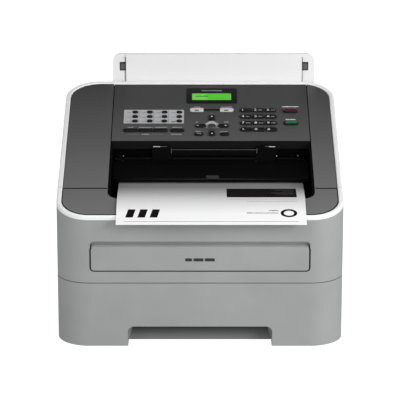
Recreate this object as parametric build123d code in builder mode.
"""Compact laser fax machine: casing, covers, paper tray, control panel, keys and rollers.

Frame: X to the machine's right, Y to its rear, Z up from the surface that it stands on.
Depths are counted from the front face; y_at() turns a depth into a Y value.
"""

from build123d import *
import os
from math import atan, cos, radians, sin, tan

os.makedirs("parts", exist_ok=True)

# ---------------------------------------------------------------- driving dimensions
WIDTH = 369.0  # casing, side to side
DEPTH = 358.0  # casing, front face to rear face
HALF = WIDTH / 2
PAGE_OVERHANG = 20.0  # printed page beyond the front face
REARMOST = 370.0  # depth of the document support's back
FRONT_Y = -(REARMOST - PAGE_OVERHANG) / 2  # Y of the front face
FRONT_RADIUS = 42.0
REAR_RADIUS = 46.0
WALL = 2.2
FOOT = 2.0  # casing's lower edge above the floor

RIM_HEIGHT = 177.0  # top plane at the front face
SLOPE = atan(0.2332)  # top plane rises to the rear
RIM_WIDTH = 6.5
RIM_FRONT = 3.8  # rim's width along the front
RIM_DROP = 4.5  # rim's lower edge under the top plane
RIM_PROUD = 0.9  # rim's top edge over the top plane
TOP_PLATE = 3.0
GROOVE = 0.8  # gap beside the rim

TRAY_TOP = 87.3
SEAM = 0.8
COVER_BOTTOM = TRAY_TOP + SEAM
TRAY_WRAP = 58.0  # how far the tray's front runs along the sides
COVER_WRAP = 70.0  # how far the front cover runs along the sides
COVER_AXIS = (7.5, 123.0)  # front cover's hinge: depth, height

SLOT_LEFT = -118.5  # central channel for the control panel and the output bin
SLOT_RIGHT = 147.5
SLOT_MIDDLE = (SLOT_LEFT + SLOT_RIGHT) / 2
SLOT_WIDTH = SLOT_RIGHT - SLOT_LEFT
BIN_FRONT = 45.0
PANEL_FRONT = 190.0
PANEL_REAR = 349.0
PANEL_HEIGHT = 11.0
CLEARANCE = 1.0  # panel and bin to the top cover

REAR_PANEL_HALF = 138.0
DECK = 92.0  # top of the frame's deck, over the tray
DECK_THICK = 3.0
FRAME_HALF = 160.0
FRAME_WALL = 3.0
FRAME_REAR = 345.0

COVER_GAP = 1.0  # front cover to the side covers
PIN_FIT = 0.06  # radial play of a hinge pin or a shaft
FAR = 500.0
ALL_X = (-WIDTH, WIDTH)  # right through the machine


def y_at(depth):
    """Y of a depth counted from the front face."""
    return FRONT_Y + depth


# The sloping top plane: its x is X, its y runs up the slope from the front face.
TOP = Plane(
    origin=(0, FRONT_Y, RIM_HEIGHT),
    x_dir=(1, 0, 0),
    z_dir=(0, -sin(SLOPE), cos(SLOPE)),
)


def along(depth):
    """Distance up the sloping top plane at a depth."""
    return depth / cos(SLOPE)


def top_height(depth):
    """Height of the top plane at a depth."""
    return RIM_HEIGHT + depth * sin(SLOPE) / cos(SLOPE)


def casing_outline(inset=0.0, front=None, mode=Mode.ADD):
    """Plan outline of the casing, moved inwards by inset, or by front at the front face."""
    if front is None:
        front = inset
    with BuildSketch(mode=Mode.PRIVATE) as outline:
        with Locations((0, y_at((DEPTH + front - inset) / 2))):
            Rectangle(WIDTH - 2 * inset, DEPTH - inset - front)
        fillet(outline.vertices().sort_by(Axis.Y)[:2], FRONT_RADIUS - (inset + front) / 2)
        fillet(outline.vertices().sort_by(Axis.Y)[-2:], REAR_RADIUS - inset)
    add(outline.sketch_local, mode=mode)


def casing_wall(bottom, top, thickness=WALL, front=None):
    """Upright ring that follows the casing's outline, thickness wide, or front wide at the front face."""
    with BuildSketch(Plane.XY.offset(bottom)) as ring:
        casing_outline()
        casing_outline(thickness, front, mode=Mode.SUBTRACT)
    extrude(ring.sketch, amount=top - bottom)


def block(x_range, depth_range, z_range, mode=Mode.ADD):
    """Box between two X values, two depths and two heights."""
    with Locations(
        (
            sum(x_range) / 2,
            y_at(sum(depth_range) / 2),
            sum(z_range) / 2,
        )
    ):
        Box(
            x_range[1] - x_range[0],
            depth_range[1] - depth_range[0],
            z_range[1] - z_range[0],
            mode=mode,
        )


def rod(radius, x_range, depth, height, mode=Mode.ADD):
    """Round bar along X."""
    with BuildSketch(Plane.YZ.offset(x_range[0])) as section:
        with Locations((y_at(depth), height)):
            Circle(radius)
    extrude(section.sketch, amount=x_range[1] - x_range[0], mode=mode)


def slab(x_range, depth_range, low, high, mode=Mode.ADD, radius=0.0):
    """Plate parallel to the top plane, between two offsets from it."""
    with BuildSketch(TOP.offset(low)) as face:
        with Locations((sum(x_range) / 2, along(sum(depth_range) / 2))):
            Rectangle(x_range[1] - x_range[0], along(depth_range[1] - depth_range[0]))
        if radius:
            fillet(face.vertices(), radius)
    extrude(face.sketch, amount=high - low, mode=mode)


def cover_zone(gap, mode):
    """Side view of the space that the front cover swings out of, pushed out by gap."""
    depth, height = COVER_AXIS
    with BuildSketch(Plane.YZ.offset(-WIDTH)) as zone:
        with Locations((y_at(depth), height)):
            Circle(COVER_WRAP - depth + gap)
        with Locations((y_at(COVER_WRAP + gap), height)):
            Rectangle(200, 200, align=(Align.MAX, Align.MIN))
    extrude(zone.sketch, amount=2 * WIDTH, mode=mode)


def save(piece, name):
    """Label a finished piece and write its STEP file."""
    piece.part.label = name
    export_step(piece.part, f"parts/{name}.step")


# ---------------------------------------------------------------- side covers
LEDGE_WIDTH = 8.0
LEDGE_THICK = 3.0
VENT_DEPTH = 245.0  # middle of the ventilation slots
VENT_HEIGHT = 50.0
VENT_SLOTS = 15
VENT_PITCH = 6.0
VENT_LENGTH = 30.0
VENT_WIDTH = 2.4


def side_cover(side):
    """Grey side cover with its rounded rear corner; side is -1 left, 1 right."""
    with BuildPart() as cover:
        casing_wall(FOOT, top_height(DEPTH) + 5)
        split(bisect_by=TOP.offset(-RIM_DROP), keep=Keep.BOTTOM)
        cover_zone(COVER_GAP, Mode.SUBTRACT)
        block(ALL_X, (-10, TRAY_WRAP + SEAM), (0, COVER_BOTTOM + 1), Mode.SUBTRACT)
        inner, outer = sorted((side * REAR_PANEL_HALF, side * WIDTH))
        block((inner, outer), (-10, DEPTH + 10), (0, FAR), Mode.INTERSECT)
        # A ledge inside, at the height of the frame's deck, that the frame's tabs are screwed to.
        ledge = sorted((side * (HALF - WALL - LEDGE_WIDTH), side * (HALF - WALL)))
        block(ledge, (90, 300), (DECK - DECK_THICK - LEDGE_THICK, DECK - DECK_THICK))
        # Ventilation slots beside the fuser and the power supply.
        with BuildSketch(Plane.YZ.offset(side * (HALF - WALL - 1))):
            with Locations((y_at(VENT_DEPTH), VENT_HEIGHT)):
                with GridLocations(VENT_PITCH, 1, VENT_SLOTS, 1):
                    SlotOverall(VENT_LENGTH, VENT_WIDTH, rotation=90)
        extrude(amount=side * (WALL + 2), mode=Mode.SUBTRACT)
    return cover


left_side_cover = side_cover(-1)
save(left_side_cover, "left_side_cover")
right_side_cover = side_cover(1)
save(right_side_cover, "right_side_cover")

# ---------------------------------------------------------------- main frame
EJECT = (255.0, 178.0)  # roller axes: depth, height
FUSER = (285.0, 122.0)
PICKUP = (100.0, 81.0)
EJECT_SHAFT = 2.5
FUSER_SHAFT = 4.0
PICKUP_SHAFT = 3.0
SIDE_PLATE_FRONT = 75.0
SIDE_PLATE_TOP = 165.0
DECK_FRONT = 118.0  # behind the pickup roller
FLANGE = (FOOT + 2, FOOT + 5)  # foot of the side plates: lower and upper face
BRACKET = (86.0, 95.0)  # depths of the upright that carries each arm
ARM_X = (147.0, 151.0)  # arms that carry the front cover's hinge pins
ARM_HALF_HEIGHT = 3.4
PIN_RADIUS = 2.0

with BuildPart() as main_frame:
    block((-FRAME_HALF, FRAME_HALF), (DECK_FRONT, FRAME_REAR), (DECK - DECK_THICK, DECK))
    block((-FRAME_HALF, FRAME_HALF), (FRAME_REAR - 6, FRAME_REAR - 3), (FLANGE[0], DECK))
    for side in (-1, 1):
        plate = sorted((side * FRAME_HALF, side * (FRAME_HALF - FRAME_WALL)))
        block(plate, (SIDE_PLATE_FRONT, FRAME_REAR), (FLANGE[0], SIDE_PLATE_TOP))
        foot = sorted((side * (FRAME_HALF - FRAME_WALL), side * (HALF - WALL)))
        block(foot, (SIDE_PLATE_FRONT, 310), FLANGE)
        tab = sorted((side * FRAME_HALF, side * (HALF - WALL)))
        block(tab, (95, 295), (DECK - DECK_THICK, DECK))
        arm = sorted((side * ARM_X[0], side * ARM_X[1]))
        bracket = sorted((side * ARM_X[0], side * FRAME_HALF))
        depth, height = COVER_AXIS
        rod(ARM_HALF_HEIGHT, arm, depth, height)
        block(arm, (depth, BRACKET[1]), (height - ARM_HALF_HEIGHT, height + ARM_HALF_HEIGHT))
        block(bracket, BRACKET, (height - ARM_HALF_HEIGHT, height + ARM_HALF_HEIGHT))
        rod(PIN_RADIUS + PIN_FIT, arm, depth, height, Mode.SUBTRACT)
    # Bearings for the fuser and pickup rollers.
    rod(FUSER_SHAFT + PIN_FIT, ALL_X, *FUSER, Mode.SUBTRACT)
    rod(PICKUP_SHAFT + PIN_FIT, ALL_X, *PICKUP, Mode.SUBTRACT)
save(main_frame, "main_frame")

# ---------------------------------------------------------------- rubber feet
FOOT_RADIUS = 8.0
FOOT_X = 170.0
FOOT_DEPTHS = (92.0, 296.0)
with BuildPart() as rubber_feet:
    with BuildSketch():
        for x in (-FOOT_X, FOOT_X):
            for depth in FOOT_DEPTHS:
                with Locations((x, y_at(depth))):
                    Circle(FOOT_RADIUS)
    extrude(amount=FLANGE[0])
    chamfer(rubber_feet.edges().group_by(Axis.Z)[0], 0.6)
save(rubber_feet, "rubber_feet")

# ---------------------------------------------------------------- white rim, front and rear
RIM_ROUND = 1.8


def rim(front):
    """White band round the casing's top edge, in front of or behind the seam."""
    with BuildPart() as band:
        casing_wall(RIM_HEIGHT - 30, top_height(DEPTH) + 30, RIM_WIDTH, RIM_FRONT)
        split(bisect_by=TOP.offset(-RIM_DROP), keep=Keep.TOP)
        split(bisect_by=TOP.offset(RIM_PROUD), keep=Keep.BOTTOM)
        seam = Plane.XZ.offset(-y_at(COVER_WRAP if front else COVER_WRAP + SEAM))
        split(bisect_by=seam, keep=Keep.TOP if front else Keep.BOTTOM)
        crest = band.faces().filter_by(lambda face: face.normal_at().Z > 0.9)[0]
        fillet(crest.edges().filter_by(lambda edge: edge.length > RIM_WIDTH + 1), RIM_ROUND)
    return band


front_rim = rim(True)
save(front_rim, "front_rim")
rear_rim = rim(False)
save(rear_rim, "rear_rim")

# ---------------------------------------------------------------- front cover
FEED_HALF = 140.6  # manual feed opening, half width
FEED_BOTTOM = 103.2
FEED_TOP = 143.7
FEED_CORNER = 5.0
POCKET = 14.0  # depth of the manual feed opening's back wall
POCKET_FRAME = (WALL - 0.2, POCKET + 2)
POCKET_HALF = FEED_HALF + 3.9
FEED_SLOT_HALF = 112.0
FEED_SLOT = (108.0, 117.0)  # heights of the slot that the sheet goes into
FLAP_BOTTOM = FEED_BOTTOM + 0.9
FLAP_TOP = 135.7
FLAP_SIDE_GAP = 0.9
FLAP_AXIS = (1.7, FLAP_BOTTOM + 4.5)  # manual feed cover's hinge: depth, height
FLAP_PIN = 0.9
FLAP_PIN_END = FEED_HALF + 1.5
LUG_HALF = 6.0

with BuildPart() as front_cover:
    casing_wall(COVER_BOTTOM, RIM_HEIGHT + 60)
    split(bisect_by=TOP.offset(-RIM_DROP), keep=Keep.BOTTOM)
    block((-POCKET_HALF, POCKET_HALF), POCKET_FRAME, (FEED_BOTTOM - 3, FEED_TOP + 3))
    # Opening for the manual feed cover, with a finger recess over it.
    with BuildSketch(Plane.XZ.offset(-y_at(-1))) as opening:
        with Locations((0, (FEED_BOTTOM + FEED_TOP) / 2)):
            Rectangle(2 * FEED_HALF, FEED_TOP - FEED_BOTTOM)
        fillet(opening.vertices(), FEED_CORNER)
    extrude(amount=-(POCKET - 2), mode=Mode.SUBTRACT)
    # Sloping roof of the finger recess.
    with BuildSketch(Plane.YZ.offset(-FEED_HALF - 1)):
        with BuildLine():
            Polyline(
                (y_at(0.6), FEED_TOP + 1),
                (y_at(POCKET), FEED_TOP + 1),
                (y_at(POCKET), FEED_TOP - 13),
                (y_at(8.5), FEED_TOP - 9),
                close=True,
            )
        make_face()
    extrude(amount=2 * FEED_HALF + 2)
    block((-FEED_SLOT_HALF, FEED_SLOT_HALF), (5, POCKET + 5), FEED_SLOT, Mode.SUBTRACT)
    rod(FLAP_PIN + PIN_FIT, (-FLAP_PIN_END, FLAP_PIN_END), *FLAP_AXIS, Mode.SUBTRACT)
    # Lugs and pins of the hinge.
    depth, height = COVER_AXIS
    for side in (-1, 1):
        lug = sorted((side * (ARM_X[1] + 0.6), side * (ARM_X[1] + 4.6)))
        block(lug, (WALL, depth + 4), (height - LUG_HALF, height + LUG_HALF))
        pin = sorted((side * (ARM_X[0] - 0.5), side * (ARM_X[1] + 1)))
        rod(PIN_RADIUS, pin, depth, height)
    cover_zone(0.0, Mode.INTERSECT)
    with BuildSketch(Plane.XY.offset(COVER_BOTTOM - 1)):
        casing_outline()
    extrude(amount=100, mode=Mode.INTERSECT)
save(front_cover, "front_cover")

NOTCH_CORNER = 16.0  # round front corners of the channel
with BuildPart() as front_cover_top:
    with BuildSketch(Plane.XY.offset(RIM_HEIGHT - 20)):
        casing_outline(RIM_WIDTH + GROOVE, RIM_FRONT + GROOVE)
    extrude(amount=120)
    split(bisect_by=TOP.offset(-TOP_PLATE), keep=Keep.TOP)
    split(bisect_by=TOP, keep=Keep.BOTTOM)
    split(bisect_by=Plane.XZ.offset(-y_at(COVER_WRAP)), keep=Keep.TOP)
    with BuildSketch(Plane.XY.offset(RIM_HEIGHT - 20)) as notch:
        with Locations((SLOT_MIDDLE, y_at(BIN_FRONT - CLEARANCE))):
            Rectangle(SLOT_WIDTH + 2 * CLEARANCE, 80, align=(Align.CENTER, Align.MIN))
        fillet(notch.vertices().sort_by(Axis.Y)[:2], NOTCH_CORNER)
    extrude(amount=120, mode=Mode.SUBTRACT)
save(front_cover_top, "front_cover_top")

# ---------------------------------------------------------------- manual feed cover
FLAP_THICK = 2.5
FLAP_FACE = 0.3  # how far the cover lies back from the front face

with BuildPart() as manual_feed_cover:
    with BuildSketch(Plane.XZ.offset(-y_at(FLAP_FACE))) as face:
        with Locations((0, (FLAP_BOTTOM + FLAP_TOP) / 2)):
            Rectangle(2 * (FEED_HALF - FLAP_SIDE_GAP), FLAP_TOP - FLAP_BOTTOM)
        fillet(face.vertices(), FEED_CORNER - FLAP_SIDE_GAP)
    extrude(amount=-FLAP_THICK)
    fillet(manual_feed_cover.faces().sort_by(Axis.Y)[0].edges(), 0.7)
    rod(FLAP_PIN, (-FLAP_PIN_END + 0.4, FLAP_PIN_END - 0.4), *FLAP_AXIS)
save(manual_feed_cover, "manual_feed_cover")

# ---------------------------------------------------------------- paper tray
TRAY_HALF = 150.0
TRAY_FRONT = 28.0  # paper box behind the tray's front: depths and heights
TRAY_REAR = 334.0
TRAY_FLOOR = 6.0
TRAY_WALL_TOP = 75.0
TRAY_WALL = 2.5
GRIP_HALF = 93.0
GRIP_DEPTH = 24.5
GRIP_TOP = FOOT + 26.5
GRIP_CORNER = 8.0
GRIP_WALL = 3.0
RIB_X = 120.0  # ribs between the tray's front and its paper box
RIB_TOP = 70.0

with BuildPart() as paper_tray:
    casing_wall(FOOT, TRAY_TOP)
    block(ALL_X, (TRAY_WRAP, FAR), (0, FAR), Mode.SUBTRACT)
    block((-TRAY_HALF, TRAY_HALF), (TRAY_FRONT, TRAY_REAR), (TRAY_FLOOR, TRAY_WALL_TOP))
    block(
        (-TRAY_HALF + TRAY_WALL, TRAY_HALF - TRAY_WALL),
        (TRAY_FRONT + TRAY_WALL, TRAY_REAR - TRAY_WALL),
        (TRAY_FLOOR + TRAY_WALL, TRAY_WALL_TOP + 5),
        Mode.SUBTRACT,
    )
    # The rear wall is lower.
    block((-TRAY_HALF - 1, TRAY_HALF + 1), (TRAY_REAR - 14, TRAY_REAR + 6), (60, 80), Mode.SUBTRACT)
    # Grip: a pocket under the front edge.
    grip_box = (-GRIP_HALF - GRIP_WALL, GRIP_HALF + GRIP_WALL)
    block(grip_box, (WALL - 0.2, GRIP_DEPTH + 4), (FOOT, GRIP_TOP + GRIP_WALL))
    block((-1.5, 1.5), (WALL - 0.2, TRAY_FRONT + 2), (GRIP_TOP, RIB_TOP))
    for side in (-1, 1):
        rib = sorted((side * RIB_X, side * (RIB_X + 3)))
        block(rib, (WALL - 0.2, TRAY_FRONT + 2), (TRAY_FLOOR, RIB_TOP))
    with BuildSketch(Plane.XZ.offset(-y_at(-1))) as grip:
        with Locations((0, FOOT - 5)):
            Rectangle(2 * GRIP_HALF, GRIP_TOP - FOOT + 5, align=(Align.CENTER, Align.MIN))
        fillet(grip.vertices().group_by(Axis.Z)[-1], GRIP_CORNER)
    extrude(amount=-(GRIP_DEPTH + 1), mode=Mode.SUBTRACT)
save(paper_tray, "paper_tray")

LIFT_AXIS = (318.0, 12.0)
LIFT_HALF = 107.0
with BuildPart() as tray_lift_plate:
    block((-LIFT_HALF, LIFT_HALF), (38, LIFT_AXIS[0]), (LIFT_AXIS[1] - 1, LIFT_AXIS[1] + 1))
    rod(2.5, (-LIFT_HALF, LIFT_HALF), *LIFT_AXIS)
save(tray_lift_plate, "tray_lift_plate")

# ---------------------------------------------------------------- top cover wings and output bin
PANEL_AXIS = (347.0, top_height(347.0) - 2.2)  # control panel's hinge: depth, height
PANEL_PIN = 1.2
PANEL_PIN_REACH = 2.6  # into the top cover

with BuildPart() as top_cover:
    with BuildSketch(Plane.XY.offset(RIM_HEIGHT - 20)):
        casing_outline(RIM_WIDTH + GROOVE)
    extrude(amount=120)
    split(bisect_by=TOP.offset(-TOP_PLATE), keep=Keep.TOP)
    split(bisect_by=TOP, keep=Keep.BOTTOM)
    split(bisect_by=Plane.XZ.offset(-y_at(COVER_WRAP + SEAM)), keep=Keep.BOTTOM)
    with BuildSketch(Plane.XY.offset(RIM_HEIGHT - 20)):
        with Locations((SLOT_MIDDLE, y_at(0))):
            Rectangle(SLOT_WIDTH + 2 * CLEARANCE, 2 * FAR)
    extrude(amount=160, mode=Mode.SUBTRACT)
    # Bearings of the control panel's hinge.
    bearing_half = SLOT_WIDTH / 2 + CLEARANCE + PANEL_PIN_REACH
    bearing = (SLOT_MIDDLE - bearing_half, SLOT_MIDDLE + bearing_half)
    rod(PANEL_PIN + PIN_FIT, bearing, *PANEL_AXIS, Mode.SUBTRACT)
save(top_cover, "top_cover")

BIN_WALL = 2.0
BIN_REAR = 264.0
BIN_TAPER = 6.0  # degrees
BIN_CORNER = 15.0
MOUTH = 250.0  # height that the tapered well is drawn at
FLARE = (MOUTH - top_height(BIN_FRONT)) * tan(radians(BIN_TAPER))
BIN_CEILING = -21.5  # under the scanner base
FLOOR_FRONT = 171.0
FLOOR_REAR = 153.0


def bin_space(inset, mode):
    """Tapered well of the output bin: upright inside the channel, then narrowing downwards."""
    with BuildSketch(Plane.XY.offset(MOUTH)) as mouth:
        with Locations((SLOT_MIDDLE, y_at((BIN_FRONT + BIN_REAR) / 2))):
            Rectangle(
                SLOT_WIDTH + 2 * (FLARE - inset),
                BIN_REAR - BIN_FRONT + 2 * (FLARE - inset),
            )
        fillet(mouth.vertices().sort_by(Axis.Y)[:2], BIN_CORNER + FLARE)
    extrude(mouth.sketch, amount=-110, taper=BIN_TAPER, mode=mode)
    block(
        (SLOT_LEFT + inset, SLOT_RIGHT - inset),
        (BIN_FRONT - 20, BIN_REAR - inset),
        (100, 300),
        Mode.INTERSECT,
    )


def floor_plane(lift):
    """Bin floor, falling towards the rear."""
    fall = (FLOOR_FRONT - FLOOR_REAR) / (BIN_REAR - BIN_FRONT)
    return Plane(
        origin=(0, y_at(BIN_FRONT), FLOOR_FRONT + lift),
        x_dir=(1, 0, 0),
        z_dir=(0, sin(atan(fall)), cos(atan(fall))),
    )


with BuildPart() as well_outer:
    bin_space(0.0, Mode.ADD)
    split(bisect_by=floor_plane(0), keep=Keep.TOP)
    split(bisect_by=TOP.offset(-0.4), keep=Keep.BOTTOM)
with BuildPart() as well_inner:
    bin_space(BIN_WALL, Mode.ADD)
    split(bisect_by=floor_plane(BIN_WALL), keep=Keep.TOP)
with BuildPart() as output_bin:
    add(well_outer.part)
    add(well_inner.part, mode=Mode.SUBTRACT)
    # The rear half stands lower, under the scanner base.
    slab((-200, 200), (PANEL_FRONT - 5, 420), BIN_CEILING, 60, Mode.SUBTRACT)
    # Slot that the printed page comes out of.
    block((-112, 139), (BIN_REAR - 40, BIN_REAR + 40), (176, 192), Mode.SUBTRACT)
    rod(EJECT_SHAFT + PIN_FIT, (-WIDTH, WIDTH), *EJECT, Mode.SUBTRACT)
save(output_bin, "output_bin")

# ---------------------------------------------------------------- rear panel and rear cover
THROUGH_REAR = (DEPTH - 10, DEPTH + 10)  # depths of a cut through the rear panel
REAR_WINDOW_HALF = 108.0
REAR_WINDOW_Z = (104.0, 206.0)
REAR_AXIS = (DEPTH - 3.0, 112.0)  # rear cover's hinge: depth, height
DOCUMENT_SLOT = (-90.0, 126.0)
DOCUMENT_SLOT_Z = (234.0, 241.0)
SUPPORT_AXIS = (364.0, 236.0)
SUPPORT_LUGS = (-104.0, 130.0)  # X of the two hinge lugs
LUG_WIDTH = 6.0
LUG_RADIUS = 4.0
LUG_PIN_REACH = 5.0
POWER_INLET = ((60.0, 90.0), (40.0, 64.0))  # X and Z
LINE_SOCKETS = ((-90.0, -20.0), (20.0, 40.0))

with BuildPart() as rear_panel:
    width = REAR_PANEL_HALF - 0.4
    block((-width, width), (DEPTH - WALL, DEPTH), (FOOT, 300))
    split(bisect_by=TOP.offset(-RIM_DROP), keep=Keep.BOTTOM)
    block((-REAR_WINDOW_HALF, REAR_WINDOW_HALF), THROUGH_REAR, REAR_WINDOW_Z, Mode.SUBTRACT)
    block(LINE_SOCKETS[0], THROUGH_REAR, LINE_SOCKETS[1], Mode.SUBTRACT)
    block(POWER_INLET[0], THROUGH_REAR, POWER_INLET[1], Mode.SUBTRACT)
    block(DOCUMENT_SLOT, THROUGH_REAR, DOCUMENT_SLOT_Z, Mode.SUBTRACT)
    # Lugs and pins that the document support turns on.
    depth, height = SUPPORT_AXIS
    for x in SUPPORT_LUGS:
        lug = (x, x + LUG_WIDTH)
        block(lug, (DEPTH - 1, depth), (height - LUG_RADIUS, height + LUG_RADIUS))
        rod(LUG_RADIUS, lug, depth, height)
        rod(PIN_RADIUS, (lug[0] - LUG_PIN_REACH, lug[1] + LUG_PIN_REACH), depth, height)
    # Pins of the rear cover, inside the window's edges.
    depth, height = REAR_AXIS
    for side in (-1, 1):
        edge = sorted((side * REAR_WINDOW_HALF, side * (REAR_WINDOW_HALF - 5)))
        rod(PIN_RADIUS, edge, depth, height)
        post = sorted((side * (REAR_WINDOW_HALF + 2), side * (REAR_WINDOW_HALF - 0.1)))
        block(post, (DEPTH - 8, DEPTH - 1), (height - 6, height + 6))
save(rear_panel, "rear_panel")

REAR_EAR_RADIUS = 4.2
GROOVE_LENGTH = 170.0
GROOVE_HEIGHT = 4.0
with BuildPart() as rear_cover:
    width = REAR_WINDOW_HALF - 0.6
    block((-width, width), (DEPTH - WALL, DEPTH), (REAR_WINDOW_Z[0] + 1.2, REAR_WINDOW_Z[1] - 0.8))
    chamfer(rear_cover.edges().filter_by(Axis.X).group_by(Axis.Z)[0], 0.8)
    depth, height = REAR_AXIS
    for side in (-1, 1):
        ear = sorted((side * (REAR_WINDOW_HALF - 1.5), side * (REAR_WINDOW_HALF - 6.5)))
        rod(REAR_EAR_RADIUS, ear, depth, height)
        block(ear, (depth, DEPTH - 0.5), (height - 3, height + 3))
        bore = sorted((side * (REAR_WINDOW_HALF + 2), side * (REAR_WINDOW_HALF - 8)))
        rod(PIN_RADIUS + PIN_FIT, bore, depth, height, Mode.SUBTRACT)
    for z in (135, 150, 165, 180):
        groove = (-GROOVE_LENGTH / 2, GROOVE_LENGTH / 2)
        block(groove, (DEPTH - 0.8, DEPTH + 1), (z, z + GROOVE_HEIGHT), Mode.SUBTRACT)
save(rear_cover, "rear_cover")

SOCKET_DEPTHS = (DEPTH - 15, DEPTH - 0.4)
SOCKET_HOLLOW = (DEPTH - 12.5, DEPTH + 1)
SOCKET_FIT = 0.2  # gap round each socket in the rear panel
SOCKET_WALL = 3.0
INLET_BLADES = ((69.0, 50.0), (81.0, 50.0), (75.0, 55.0))  # X and Z
BLADE_HALF = (1.0, 2.0)
LINE_JACKS = (-78.0, -46.0)  # X of the left edges
JACK_WIDTH = 14.0

with BuildPart() as rear_sockets:
    for x_range, z_range in (POWER_INLET, LINE_SOCKETS):
        body = (x_range[0] + SOCKET_FIT, x_range[1] - SOCKET_FIT)
        block(body, SOCKET_DEPTHS, (z_range[0] + SOCKET_FIT, z_range[1] - SOCKET_FIT))
    # Power inlet with its recess and three blades.
    (left, right), (low, high) = POWER_INLET
    recess = (left + SOCKET_WALL, right - SOCKET_WALL)
    block(recess, SOCKET_HOLLOW, (low + SOCKET_WALL, high - SOCKET_WALL), Mode.SUBTRACT)
    for x, z in INLET_BLADES:
        half_width, half_height = BLADE_HALF
        blade = (x - half_width, x + half_width)
        block(blade, (DEPTH - 13, DEPTH - 3), (z - half_height, z + half_height))
    # Two line sockets side by side.
    for x in LINE_JACKS:
        block((x, x + JACK_WIDTH), SOCKET_HOLLOW, (24, 36), Mode.SUBTRACT)
save(rear_sockets, "rear_sockets")

# ---------------------------------------------------------------- scanner base
BASE_X = (SLOT_LEFT - 9.0, SLOT_RIGHT + 9.0)
BASE_LIP = 3.0
BASE_TOP = -PANEL_HEIGHT - 1.6
BASE_BOTTOM = -20.5
BASE_REAR = 346.0
EARS = ((-64.0, -37.0), (75.0, 102.0))
EAR_DEPTH = (182.5, 186.0)
EAR_BOTTOM = 193.0
EAR_HEIGHT = 24.5
EAR_CORNER = 7.0
STRIP_TOP = 212.6  # strip between the ears
WEB = (204.0, 206.5)  # heights of the web that carries the strip and the ears
FLAP_HINGE = (184.3, 199.0)  # document output flap's hinge: depth, height
FLAP_HINGE_PIN = 1.5
FEED_DEPTH = 300.0
FEED_HEIGHT = top_height(FEED_DEPTH) - 19.2
FEED_RADIUS = 6.0
FEED_SHAFT = 2.0
FEED_WINDOW = (-45.0, 75.0)
BEARING_WIDTH = 6.0

with BuildPart() as scanner_base:
    slab(BASE_X, (PANEL_FRONT - 1, BASE_REAR), BASE_BOTTOM, BASE_TOP)
    for left, right in EARS:
        with BuildSketch(Plane.XZ.offset(-y_at(EAR_DEPTH[0]))) as ear:
            with Locations(((left + right) / 2, EAR_BOTTOM)):
                Rectangle(right - left, EAR_HEIGHT, align=(Align.CENTER, Align.MIN))
            fillet(ear.vertices().group_by(Axis.Z)[-1], EAR_CORNER)
        extrude(amount=-(EAR_DEPTH[1] - EAR_DEPTH[0]))
        fillet(
            scanner_base.faces()
            .filter_by(lambda face: abs(face.center().Y - y_at(EAR_DEPTH[0])) < 0.01)
            .sort_by(lambda face: abs(face.center().X - (left + right) / 2))[0]
            .edges(),
            0.8,
        )
    strip = (EARS[0][1], EARS[1][0])
    block(strip, (EAR_DEPTH[0] + 1, EAR_DEPTH[1]), (WEB[0], STRIP_TOP))
    block((EARS[0][0], EARS[1][1]), (EAR_DEPTH[0] + 1, PANEL_FRONT + 6), WEB)
    # Pins that carry the document output flap.
    rod(FLAP_HINGE_PIN, (EARS[0][1] - 1, EARS[0][1] + 4), *FLAP_HINGE)
    rod(FLAP_HINGE_PIN, (EARS[1][0] - 4, EARS[1][0] + 1), *FLAP_HINGE)
    # Window and bearings for the feed roller.
    block(FEED_WINDOW, (FEED_DEPTH - 9, FEED_DEPTH + 9), (180, 300), Mode.SUBTRACT)
    for x in (FEED_WINDOW[0] - BEARING_WIDTH, FEED_WINDOW[1]):
        bearing = (x, x + BEARING_WIDTH)
        block(bearing, (FEED_DEPTH - 6, FEED_DEPTH + 6), (FEED_HEIGHT - 5, FEED_HEIGHT + 3))
        bore = (x - 1, x + BEARING_WIDTH + 1)
        rod(FEED_SHAFT + PIN_FIT, bore, FEED_DEPTH, FEED_HEIGHT, Mode.SUBTRACT)
    # Lips at both sides that carry the top cover.
    for x in (BASE_X[0], BASE_X[1] - BASE_LIP):
        slab((x, x + BASE_LIP), (195, 340), BASE_TOP, -TOP_PLATE)
save(scanner_base, "scanner_base")

with BuildPart() as document_feed_roller:
    rod(FEED_RADIUS, (-30, 60), FEED_DEPTH, FEED_HEIGHT)
    rod(FEED_SHAFT, (FEED_WINDOW[0] - 5, FEED_WINDOW[1] + 5), FEED_DEPTH, FEED_HEIGHT)
save(document_feed_roller, "document_feed_roller")

# ---------------------------------------------------------------- document output flap
FLAP_LOW = (115.0, 188.2)  # front edge: depth and height of its underside
FLAP_SHEET = 2.2
FLAP_X = (SLOT_LEFT + 3.3, SLOT_RIGHT - 3.3)
FLAP_WIDE_REAR = 174.0  # depth that the full width reaches back to
BETWEEN_EARS = (EARS[0][1] + 0.6, EARS[1][0] - 0.6)
OUTER_TABS = ((-102.0, EARS[0][0] - 1.0), (EARS[1][1] + 1.0, 134.0))
BARREL = 3.4
OUTER_BARREL = 2.6
PLATEAU = 1.0  # raised part of the flap
FINGER_TAB = (7.7, 24.8)
FLAP_TILT = atan((FLAP_HINGE[1] - FLAP_SHEET / 2 - FLAP_LOW[1]) / (FLAP_HINGE[0] - FLAP_LOW[0]))
FLAP_PLANE = Plane(
    origin=(0, y_at(FLAP_LOW[0]), FLAP_LOW[1]),
    x_dir=(1, 0, 0),
    z_dir=(0, -sin(FLAP_TILT), cos(FLAP_TILT)),
)


def on_flap(x, depth):
    """Point of the flap's plane above an X value and a depth."""
    return (x, (depth - FLAP_LOW[0]) / cos(FLAP_TILT))


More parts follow.
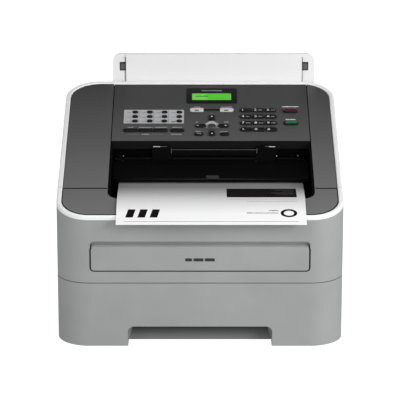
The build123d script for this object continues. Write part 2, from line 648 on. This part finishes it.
with BuildPart() as document_output_flap:
    with BuildSketch(FLAP_PLANE) as plan:
        with Locations(on_flap(sum(FLAP_X) / 2, FLAP_LOW[0])):
            Rectangle(
                FLAP_X[1] - FLAP_X[0],
                on_flap(0, FLAP_WIDE_REAR)[1],
                align=(Align.CENTER, Align.MIN),
            )
        fillet(plan.vertices(), 5)
        for tab in (OUTER_TABS[0], BETWEEN_EARS, OUTER_TABS[1]):
            with Locations(on_flap(sum(tab) / 2, FLAP_WIDE_REAR - 1)):
                Rectangle(
                    tab[1] - tab[0],
                    on_flap(0, FLAP_HINGE[0])[1] - on_flap(0, FLAP_WIDE_REAR - 1)[1],
                    align=(Align.CENTER, Align.MIN),
                )
    extrude(amount=FLAP_SHEET)
    # Raised part, with a step that comes forward between the ears.
    with BuildSketch(FLAP_PLANE.offset(FLAP_SHEET)):
        with BuildLine():
            Polyline(
                on_flap(FLAP_X[0] + 1, FLAP_LOW[0] + 6),
                on_flap(FLAP_X[0] + 1, FLAP_WIDE_REAR - 6),
                on_flap(FLAP_X[0] + 6, FLAP_WIDE_REAR - 1),
                on_flap(EARS[0][0] - 2, FLAP_WIDE_REAR - 1),
                on_flap(EARS[0][0] + 13, FLAP_WIDE_REAR - 11),
                on_flap(EARS[1][1] - 13, FLAP_WIDE_REAR - 11),
                on_flap(EARS[1][1] + 2, FLAP_WIDE_REAR - 1),
                on_flap(FLAP_X[1] - 6, FLAP_WIDE_REAR - 1),
                on_flap(FLAP_X[1] - 1, FLAP_WIDE_REAR - 6),
                on_flap(FLAP_X[1] - 1, FLAP_LOW[0] + 6),
                on_flap(FLAP_X[1] - 6, FLAP_LOW[0] + 1),
                on_flap(FLAP_X[0] + 6, FLAP_LOW[0] + 1),
                close=True,
            )
        make_face()
    extrude(amount=PLATEAU)
    # Finger tab at the middle of the front edge.
    with BuildSketch(FLAP_PLANE.offset(FLAP_SHEET)):
        with Locations(on_flap(sum(FINGER_TAB) / 2, FLAP_LOW[0] + 7)):
            RectangleRounded(FINGER_TAB[1] - FINGER_TAB[0], 8, 2.5)
    extrude(amount=PLATEAU + 1.2)
    rod(BARREL, BETWEEN_EARS, *FLAP_HINGE)
    for tab in OUTER_TABS:
        rod(OUTER_BARREL, tab, *FLAP_HINGE)
    bore = (BETWEEN_EARS[0] - 1, BETWEEN_EARS[1] + 1)
    rod(FLAP_HINGE_PIN + PIN_FIT, bore, *FLAP_HINGE, Mode.SUBTRACT)
save(document_output_flap, "document_output_flap")

# ---------------------------------------------------------------- printed page
PAGE_X = (-106.6, 135.0)
PAGE_THICK = 0.5
PAGE_LINE = (
    (-PAGE_OVERHANG, 172.5),
    (3, 179.0),
    (BIN_FRONT, 188.3),
    (80, 187.2),
    (140, 184.6),
    (245, 184.6),
)
with BuildPart() as printed_page:
    with BuildSketch(Plane.YZ.offset(PAGE_X[0])):
        with BuildLine():
            lower = Spline([(y_at(depth), height) for depth, height in PAGE_LINE])
            upper = Spline([(y_at(depth), height + PAGE_THICK) for depth, height in PAGE_LINE])
            Line(lower @ 0, upper @ 0)
            Line(lower @ 1, upper @ 1)
        make_face()
    extrude(amount=PAGE_X[1] - PAGE_X[0])
save(printed_page, "printed_page")

# ---------------------------------------------------------------- eject, fuser and pickup rollers
EJECT_TYRES = (-80.0, -5.0, 70.0)  # X of the left edges
with BuildPart() as eject_roller:
    rod(EJECT_SHAFT, (-117, 146), *EJECT)
    for x in EJECT_TYRES:
        rod(5.8, (x, x + 22), *EJECT)
save(eject_roller, "eject_roller")

SHAFT_END = FRAME_HALF + 2
with BuildPart() as fuser_roller:
    rod(FUSER_SHAFT, (-SHAFT_END, SHAFT_END), *FUSER)
    rod(12.0, (-120, 120), *FUSER)
save(fuser_roller, "fuser_roller")

with BuildPart() as pickup_roller:
    rod(PICKUP_SHAFT, (-SHAFT_END, SHAFT_END), *PICKUP)
    rod(14.0, (-25, 25), *PICKUP)
    rims = pickup_roller.edges().filter_by(GeomType.CIRCLE).sort_by(lambda edge: -edge.radius)
    fillet(rims[:2], 1.5)
save(pickup_roller, "pickup_roller")

# ---------------------------------------------------------------- inner units
with BuildPart() as toner_cartridge:
    block((-125, 125), (105, 175), (97, 128))
    fillet(toner_cartridge.edges().filter_by(Axis.X), 9)
    block((-118, 118), (DECK_FRONT + 6, 165), (DECK, 100))
    block((-40, 40), (96, 106), (104, 116))
save(toner_cartridge, "toner_cartridge")

BOARD_THICK = 1.6
BOARD_X = (-FRAME_HALF - 9, -FRAME_HALF - 9 + BOARD_THICK)
with BuildPart() as main_board:
    block(BOARD_X, (110, 300), (100, 160))
    block((BOARD_X[0] - 6, BOARD_X[0]), (140, 160), (120, 140))
    block((BOARD_X[0] - 4, BOARD_X[0]), (200, 232), (112, 136))
    for depth in (120, 290):
        rod(2.5, (BOARD_X[1], -FRAME_HALF), depth, 155)
save(main_board, "main_board")

SUPPLY_X = (FRAME_HALF + 3, FRAME_HALF + 5)
with BuildPart() as power_supply:
    block(SUPPLY_X, (120, 290), (20, 80))
    block((FRAME_HALF, SUPPLY_X[0]), (125, 135), (24, 34))
    block((FRAME_HALF, SUPPLY_X[0]), (275, 285), (66, 76))
    block((SUPPLY_X[1], SUPPLY_X[1] + 13), (150, 185), (30, 60))
    rod(9, (SUPPLY_X[1], SUPPLY_X[1] + 14), 220, 48)
save(power_supply, "power_supply")

# ---------------------------------------------------------------- control panel
PANEL_X = (SLOT_LEFT + 0.2, SLOT_RIGHT - 0.2)
PANEL_SKIN = 3.0

# Keys: name, X of the middle, depth of the middle, width, length front to rear, rounded ends.
DIGIT_X = (61.8, 79.0, 96.2)
DIGIT_DEPTH = (274.9, 257.3, 239.4, 221.9)
DIGIT_SIZE = (15.9, 9.8)
STRIP_SIZE = (19.3, 8.4)
MODE_SIZE = (18.6, 8.0)
FUNCTION_SIZE = (20.0, 9.4)
LEFT_END = (-1,)
RIGHT_END = (1,)
BOTH_ENDS = (-1, 1)
DIGITS = ("1", "2", "3", "4", "5", "6", "7", "8", "9", "star", "0", "hash")
keys = []
for index, digit in enumerate(DIGITS):
    row, column = divmod(index, 3)
    ends = (LEFT_END, (), RIGHT_END)[column]
    keys.append((f"key_{digit}", DIGIT_X[column], DIGIT_DEPTH[row], *DIGIT_SIZE, ends))
keys += [
    ("hook_key", -93.6, 219.5, *STRIP_SIZE, LEFT_END),
    ("redial_key", -73.3, 219.5, *STRIP_SIZE, ()),
    ("resolution_key", -53.0, 219.5, *STRIP_SIZE, RIGHT_END),
    ("options_key", -30.7, 219.5, 18.6, 8.4, BOTH_ENDS),
    ("fax_mode_key", -4.6, 275.7, *MODE_SIZE, LEFT_END),
    ("copy_mode_key", 36.6, 275.7, *MODE_SIZE, RIGHT_END),
    ("up_key", 16.0, 253.8, 8.6, 17.0, BOTH_ENDS),
    ("down_key", 16.0, 210.9, 8.6, 12.6, BOTH_ENDS),
    ("left_key", 1.0, 231.9, 15.0, 8.6, BOTH_ENDS),
    ("right_key", 31.3, 231.9, 15.0, 8.6, BOTH_ENDS),
    ("ok_key", 16.0, 231.5, 10.6, 10.6, BOTH_ENDS),
    ("search_key", -1.6, 209.5, 12.3, 8.0, BOTH_ENDS),
    ("menu_key", 33.2, 209.5, 12.3, 8.0, BOTH_ENDS),
    ("stop_key", 123.0, 273.0, *FUNCTION_SIZE, BOTH_ENDS),
    ("start_key", 123.0, 239.0, *FUNCTION_SIZE, BOTH_ENDS),
]
ONE_TOUCH_X = (-88.1, -68.2, -48.2, -28.1)
ONE_TOUCH_DEPTH = (269.4, 257.1, 244.7)
ONE_TOUCH_SIZE = (7.6, 6.4)
KEY_PROUD = 1.9
KEY_DEEP = 5.0
KEY_GAP = 0.25
SQUARE_CORNER = 1.1
BEZEL = (-18.6, 51.0, 295.0, 337.0)  # X range, then depths
BEZEL_SUNK = 1.2
BEZEL_CORNER = 3.0
GLASS = (-11.0, 43.0, 303.5, 323.0)


def key_shape(x, depth, width, length, ends=BOTH_ENDS, grow=0.0):
    """Plan of one key: lens-like at its rounded ends, nearly square at the others."""
    with Locations((x, along(depth))):
        lens = min(width, length) / 2 - 0.4 + grow
        RectangleRounded(width + 2 * grow, length + 2 * grow, lens if ends else SQUARE_CORNER)
    for side in {-1, 1} - set(ends):
        with Locations((x + side * width / 4, along(depth))):
            RectangleRounded(width / 2 + 2 * grow, length + 2 * grow, SQUARE_CORNER)


def one_touch_plans(grow=0.0):
    """Plans of the twelve one-touch keys."""
    for x in ONE_TOUCH_X:
        for depth in ONE_TOUCH_DEPTH:
            key_shape(x, depth, *ONE_TOUCH_SIZE, grow=grow)


def cut_key_holes(start, amount):
    """Cuts a hole for every key out of the current part."""
    with BuildSketch(TOP.offset(start)) as holes:
        for _, x, depth, width, length, ends in keys:
            key_shape(x, depth, width, length, ends, KEY_GAP)
        one_touch_plans(KEY_GAP)
    extrude(holes.sketch, amount=amount, mode=Mode.SUBTRACT)


with BuildPart() as control_panel:
    slab(PANEL_X, (PANEL_FRONT, PANEL_REAR), -PANEL_HEIGHT, 0)
    split(bisect_by=Plane.XZ.offset(-y_at(PANEL_FRONT + 2.4)), keep=Keep.BOTTOM)
    slab(
        (PANEL_X[0] + 2.5, PANEL_X[1] - 2.5),
        (PANEL_FRONT + 7, PANEL_REAR - 12),
        -PANEL_HEIGHT - 1,
        -PANEL_SKIN,
        Mode.SUBTRACT,
    )
    cut_key_holes(1, -8)
    # Recess that the display's bezel sits in, and the display's opening.
    slab(BEZEL[:2], BEZEL[2:], -BEZEL_SUNK, 1, Mode.SUBTRACT, radius=BEZEL_CORNER)
    slab((GLASS[0] - 2, GLASS[1] + 2), (GLASS[2] - 2, GLASS[3] + 2), -8, 1, Mode.SUBTRACT)
    # Hinge pins, which reach into the top cover.
    pin = (PANEL_X[0] - CLEARANCE - PANEL_PIN_REACH, PANEL_X[0] + 2)
    rod(PANEL_PIN, pin, *PANEL_AXIS)
    pin = (PANEL_X[1] - 2, PANEL_X[1] + CLEARANCE + PANEL_PIN_REACH)
    rod(PANEL_PIN, pin, *PANEL_AXIS)
save(control_panel, "control_panel")

for name, x, depth, width, length, ends in keys:
    with BuildPart() as key:
        with BuildSketch(TOP.offset(-KEY_DEEP)):
            key_shape(x, depth, width, length, ends)
        extrude(amount=KEY_DEEP + KEY_PROUD)
        crown = key.faces().filter_by(lambda face: face.normal_at().Z > 0.9).sort_by(Axis.Z)[-1]
        fillet(crown.edges(), 0.9)
    save(key, name)

with BuildPart() as one_touch_keys:
    with BuildSketch(TOP.offset(-KEY_DEEP)):
        one_touch_plans()
    extrude(amount=KEY_DEEP + KEY_PROUD)
    crowns = one_touch_keys.faces().filter_by(lambda face: face.normal_at().Z > 0.9)
    fillet(crowns.edges(), 0.8)
save(one_touch_keys, "one_touch_keys")

# ---------------------------------------------------------------- display
BEZEL_PROUD = 0.8
FIT = 0.1  # gap round the bezel and the glass
GLASS_BOTTOM = -3.0

with BuildPart() as display_bezel:
    slab(
        (BEZEL[0] + FIT, BEZEL[1] - FIT),
        (BEZEL[2] + FIT, BEZEL[3] - FIT),
        -BEZEL_SUNK,
        BEZEL_PROUD,
        radius=BEZEL_CORNER,
    )
    slab((GLASS[0] - 1.6, GLASS[1] + 1.6), (GLASS[2] - 1.6, GLASS[3] + 1.6), -6, -BEZEL_SUNK)
    slab(GLASS[:2], GLASS[2:], GLASS_BOTTOM, 2, Mode.SUBTRACT, radius=1.0)
save(display_bezel, "display_bezel")

with BuildPart() as display_glass:
    slab(
        (GLASS[0] + FIT, GLASS[1] - FIT),
        (GLASS[2] + FIT, GLASS[3] - FIT),
        GLASS_BOTTOM,
        0.3,
        radius=0.9,
    )
save(display_glass, "display_glass")

# ---------------------------------------------------------------- silver plates
PLATE_THICK = 0.4
ONE_TOUCH_PLATE = (-103.5, -21.8, 239.5, 276.5)
STAR_MIDDLE = (16.0, 231.7)  # X and depth
STAR_REACH = (16.5, 18.0)  # half width and half length
STAR_WAIST = 0.62
star_points = []
for step in range(8):
    reach = 1.0 if step % 2 == 0 else STAR_WAIST
    turn = radians(45 * step)
    star_points.append(
        (
            STAR_MIDDLE[0] + STAR_REACH[0] * reach * cos(turn),
            along(STAR_MIDDLE[1]) + STAR_REACH[1] * reach * sin(turn),
        )
    )

with BuildPart() as silver_plates:
    with BuildSketch(TOP):
        left, right, near, far = ONE_TOUCH_PLATE
        with Locations(((left + right) / 2, along((near + far) / 2))):
            RectangleRounded(right - left, along(far - near), 1.2)
        with BuildLine():
            Polyline(*star_points, close=True)
        make_face()
    extrude(amount=PLATE_THICK)
    cut_key_holes(-1, 3)
save(silver_plates, "silver_plates")

# ---------------------------------------------------------------- document support
SUPPORT_LEFT = -123.0
SUPPORT_RIGHT = 161.0
SUPPORT_TOP = FOOT + 296.5
SUPPORT_BOTTOM = 242.0
SUPPORT_THICK = 4.0
SUPPORT_CORNER = 12.0
EXTENSION_X = (-103.0, 142.0)
EXTENSION_Z = (250.0, SUPPORT_TOP - 0.9)
EXTENSION_THICK = 2.0
EXTENSION_GAP = 0.2
SIDE_SLOT = (9.0, 12.5, 274.0)  # width, height, lower edge
HINGE_EYES = ((-4.6, -0.5), (LUG_WIDTH + 0.5, LUG_WIDTH + 4.6))  # X from each lug's left edge

with BuildPart() as document_support:
    with BuildSketch(Plane.XZ.offset(-y_at(REARMOST))) as sheet:
        with BuildLine():
            Polyline(
                (SUPPORT_LEFT, SUPPORT_BOTTOM),
                (SUPPORT_RIGHT, SUPPORT_BOTTOM),
                (SUPPORT_RIGHT - 2, SUPPORT_TOP),
                (SUPPORT_LEFT + 2, SUPPORT_TOP),
                close=True,
            )
        make_face()
        fillet(sheet.vertices().group_by(Axis.Z)[-1], SUPPORT_CORNER)
    extrude(amount=SUPPORT_THICK)
    slot_width, slot_height, slot_bottom = SIDE_SLOT
    for x in (EXTENSION_X[0] - slot_width, EXTENSION_X[1]):
        block(
            (x, x + slot_width),
            (REARMOST - 10, REARMOST + 1),
            (slot_bottom, slot_bottom + slot_height),
            Mode.SUBTRACT,
        )
    depth, height = SUPPORT_AXIS
    for x in SUPPORT_LUGS:
        for near, far in HINGE_EYES:
            eye = (x + near, x + far)
            rod(LUG_RADIUS, eye, depth, height)
            block(eye, (depth - 0.5, REARMOST), (height, SUPPORT_BOTTOM + 3))
            rod(PIN_RADIUS + PIN_FIT, (eye[0] - 1, eye[1] + 1), depth, height, Mode.SUBTRACT)
save(document_support, "document_support")

with BuildPart() as support_extension:
    face = REARMOST - SUPPORT_THICK - EXTENSION_GAP
    block(EXTENSION_X, (face - EXTENSION_THICK, face), EXTENSION_Z)
save(support_extension, "support_extension")
